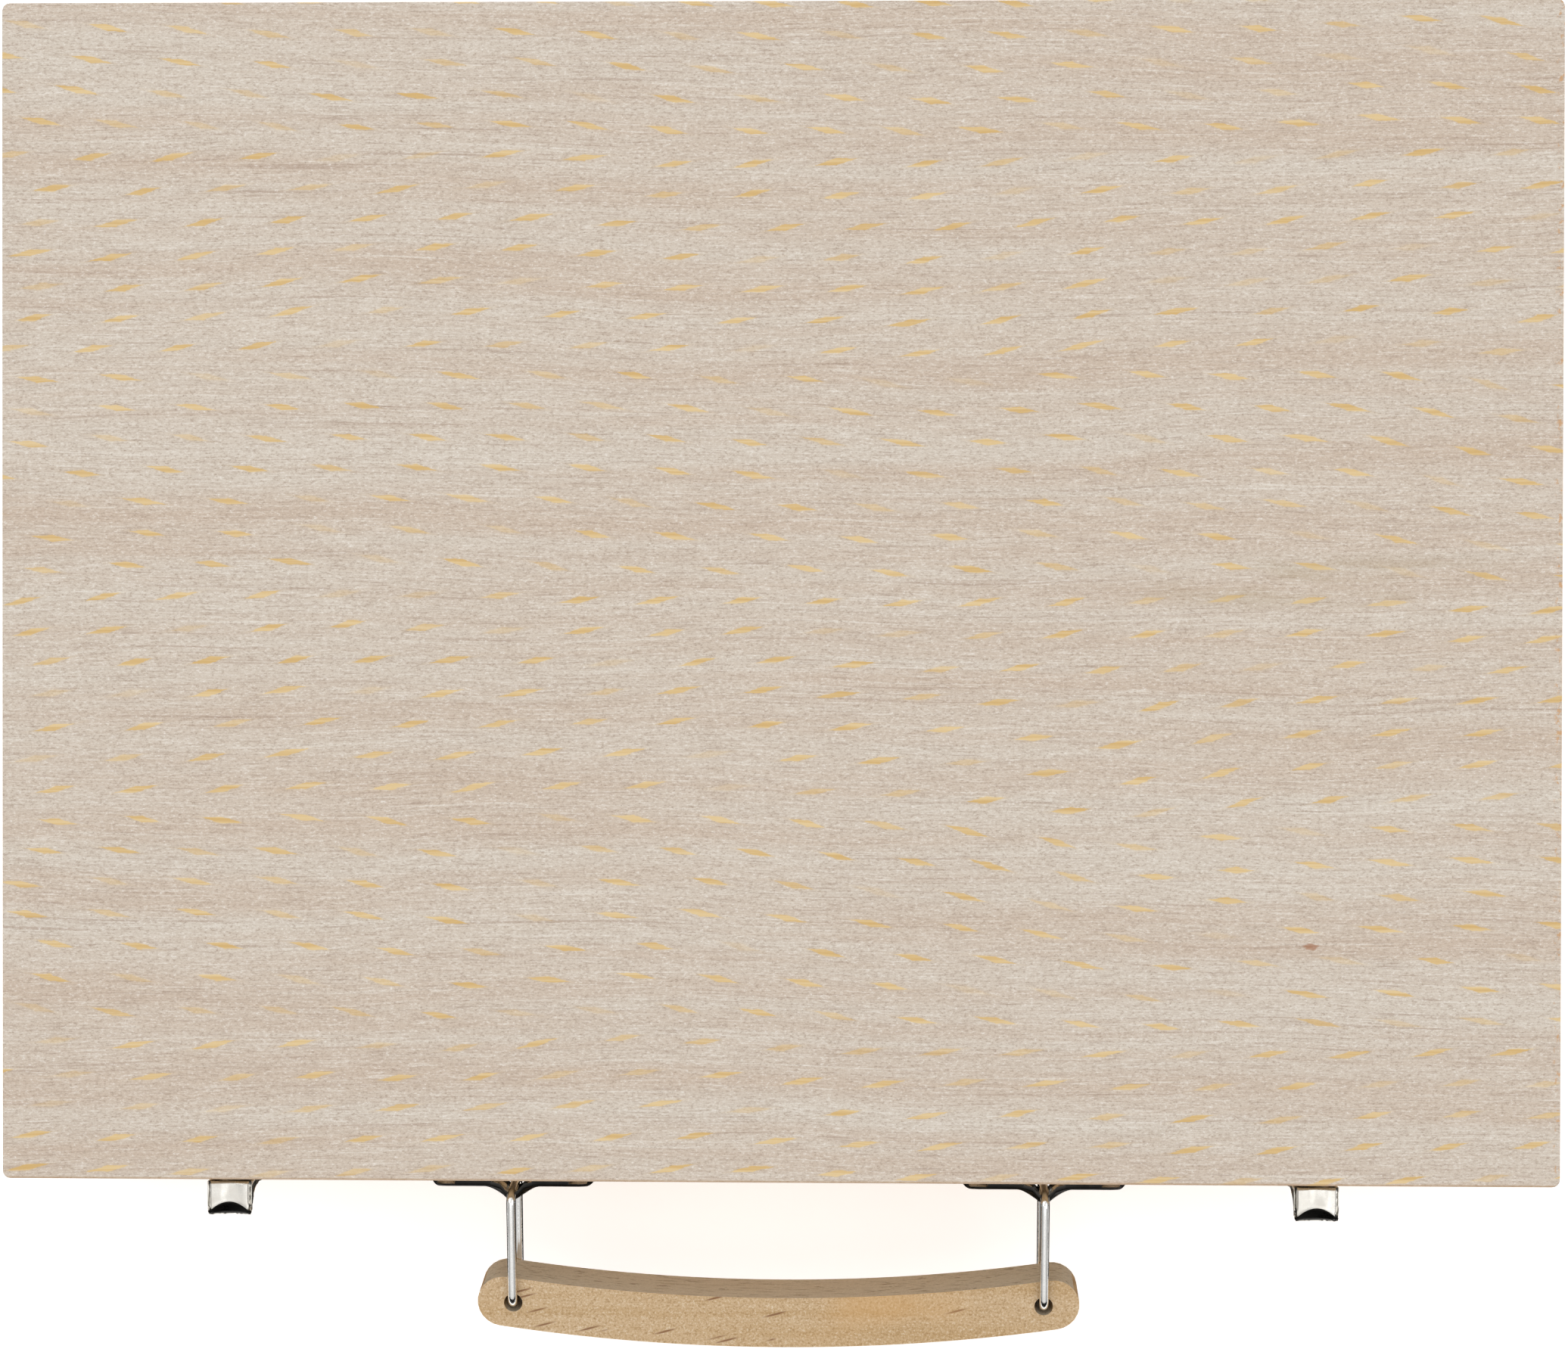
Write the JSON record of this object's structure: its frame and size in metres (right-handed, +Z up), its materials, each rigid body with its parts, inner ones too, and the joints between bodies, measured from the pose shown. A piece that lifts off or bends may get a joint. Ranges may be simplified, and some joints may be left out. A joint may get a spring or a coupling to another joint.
{
  "type": "table box easel",
  "caption": "Flat wooden artist's box easel: hinged lid on slotted stays, tray with compartments, canvas clamp and ledge, carrying grip on wire bails, two snap hasps.",
  "frame": {"origin": "centre of the base's underside", "axes": "+Z up through the closed case to the lid, -Y to the front with the grip and hasps, X along the case's length"},
  "size_m": [0.412, 0.3635, 0.066],
  "materials": {
    "plywood": "satin",
    "beech": "satin",
    "grip_wood": "satin",
    "nickel": "brushed nickel plate",
    "zinc_steel": "zinc plated"
  },
  "bodies": {
    "base": {"base_panel": "plywood", "base_board_front": "beech", "base_board_back": "beech", "base_board_left": "beech", "base_board_right": "beech", "tray_wall_left": "beech", "tray_wall_right": "beech", "tray_long_divider": "beech", "tray_cross_divider_1": "beech", "tray_cross_divider_2": "beech", "tray_cross_divider_3": "beech", "palette": "plywood", "hinge_left_base_leaf": "nickel", "hinge_left_pin": "nickel", "stay_left_rail": "zinc_steel", "hasp_left_leaf": "nickel", "hasp_left_pin": "nickel", "hinge_right_base_leaf": "nickel", "hinge_right_pin": "nickel", "stay_right_rail": "zinc_steel", "hasp_right_leaf": "nickel", "hasp_right_pin": "nickel"},
    "lid": {"lid_panel": "plywood", "lid_rail_front": "beech", "lid_rail_back": "beech", "lid_rail_left": "beech", "lid_rail_right": "beech", "clamp_track": "beech", "canvas_ledge": "beech", "plate_screw_1": "nickel", "plate_screw_2": "nickel", "plate_screw_3": "nickel", "plate_screw_4": "nickel", "hinge_left_lid_leaf": "nickel", "stay_left_bracket": "zinc_steel", "stay_left_rivet": "zinc_steel", "handle_plate_left": "nickel", "hasp_left_keeper": "nickel", "hinge_right_lid_leaf": "nickel", "stay_right_bracket": "zinc_steel", "stay_right_rivet": "zinc_steel", "handle_plate_right": "nickel", "hasp_right_keeper": "nickel"},
    "canvas_clamp": {"canvas_clamp": "beech", "clamp_bolt": "zinc_steel"},
    "clamp_knob": {"clamp_knob": "nickel"},
    "grip": {"grip": "grip_wood"},
    "stay_left_arm": {"stay_left_arm": "zinc_steel", "stay_left_slide_bolt": "zinc_steel"},
    "stay_left_nut": {"stay_left_thumb_nut": "nickel"},
    "hasp_left_flap": {"hasp_left_flap": "nickel"},
    "bail_left": {"bail_left": "nickel"},
    "stay_right_arm": {"stay_right_arm": "zinc_steel", "stay_right_slide_bolt": "zinc_steel"},
    "stay_right_nut": {"stay_right_thumb_nut": "nickel"},
    "hasp_right_flap": {"hasp_right_flap": "nickel"},
    "bail_right": {"bail_right": "nickel"}
  },
  "joints": [
    {"name": "lid_hinge", "type": "hinge", "parent": "base", "child": "lid", "pos_m": [0, 0.1586, 0.0342], "axis": [-1, 0, 0], "range_deg": [0, 72]},
    {"name": "clamp_slide", "type": "slide", "parent": "lid", "child": "canvas_clamp", "axis": [0, 1, 0], "range_m": [0, 0.18]},
    {"name": "clamp_knob_turn", "type": "hinge", "parent": "canvas_clamp", "child": "clamp_knob", "pos_m": [0, -0.1336, 0.038], "axis": [0, 0, 1], "continuous": true},
    {"name": "stay_left_pivot", "type": "hinge", "parent": "lid", "child": "stay_left_arm", "pos_m": [-0.1916, 0.01894, 0.02443], "axis": [-1, 0, 0], "range_deg": [-144, 0]},
    {"name": "stay_left_nut_turn", "type": "hinge", "parent": "stay_left_arm", "child": "stay_left_nut", "pos_m": [-0.1916, -0.12072, 0.01467], "axis": [1, 0, 0], "continuous": true},
    {"name": "hasp_left_hinge", "type": "hinge", "parent": "base", "child": "hasp_left_flap", "pos_m": [-0.1468, -0.1586, 0.029], "axis": [1, 0, 0], "range_deg": [0, 100]},
    {"name": "bail_left_sway", "type": "hinge", "parent": "lid", "child": "bail_left", "pos_m": [-0.0712, -0.1595, 0.05], "axis": [0, -0.1564, 0.9877], "range_deg": [-60, 60]},
    {"name": "stay_right_pivot", "type": "hinge", "parent": "lid", "child": "stay_right_arm", "pos_m": [0.1916, 0.01894, 0.02443], "axis": [-1, 0, 0], "range_deg": [-144, 0]},
    {"name": "stay_right_nut_turn", "type": "hinge", "parent": "stay_right_arm", "child": "stay_right_nut", "pos_m": [0.1916, -0.12072, 0.01467], "axis": [1, 0, 0], "continuous": true},
    {"name": "hasp_right_hinge", "type": "hinge", "parent": "base", "child": "hasp_right_flap", "pos_m": [0.1432, -0.1586, 0.029], "axis": [1, 0, 0], "range_deg": [0, 100]},
    {"name": "bail_right_sway", "type": "hinge", "parent": "lid", "child": "bail_right", "pos_m": [0.0712, -0.1595, 0.05], "axis": [0, -0.1564, 0.9877], "range_deg": [-60, 60]},
    {"name": "grip_pivot", "type": "hinge", "parent": "bail_left", "child": "grip", "pos_m": [-0.0712, -0.18962, 0.04523], "axis": [0, -0.1564, 0.9877], "range_deg": [-60, 60]}
  ],
  "couplings": [
    {"joint": "stay_left_pivot", "follows": "lid_hinge", "ratio": -2},
    {"joint": "stay_right_pivot", "follows": "lid_hinge", "ratio": -2},
    {"joint": "bail_right_sway", "follows": "bail_left_sway", "ratio": 1},
    {"joint": "grip_pivot", "follows": "bail_left_sway", "ratio": -1}
  ]
}
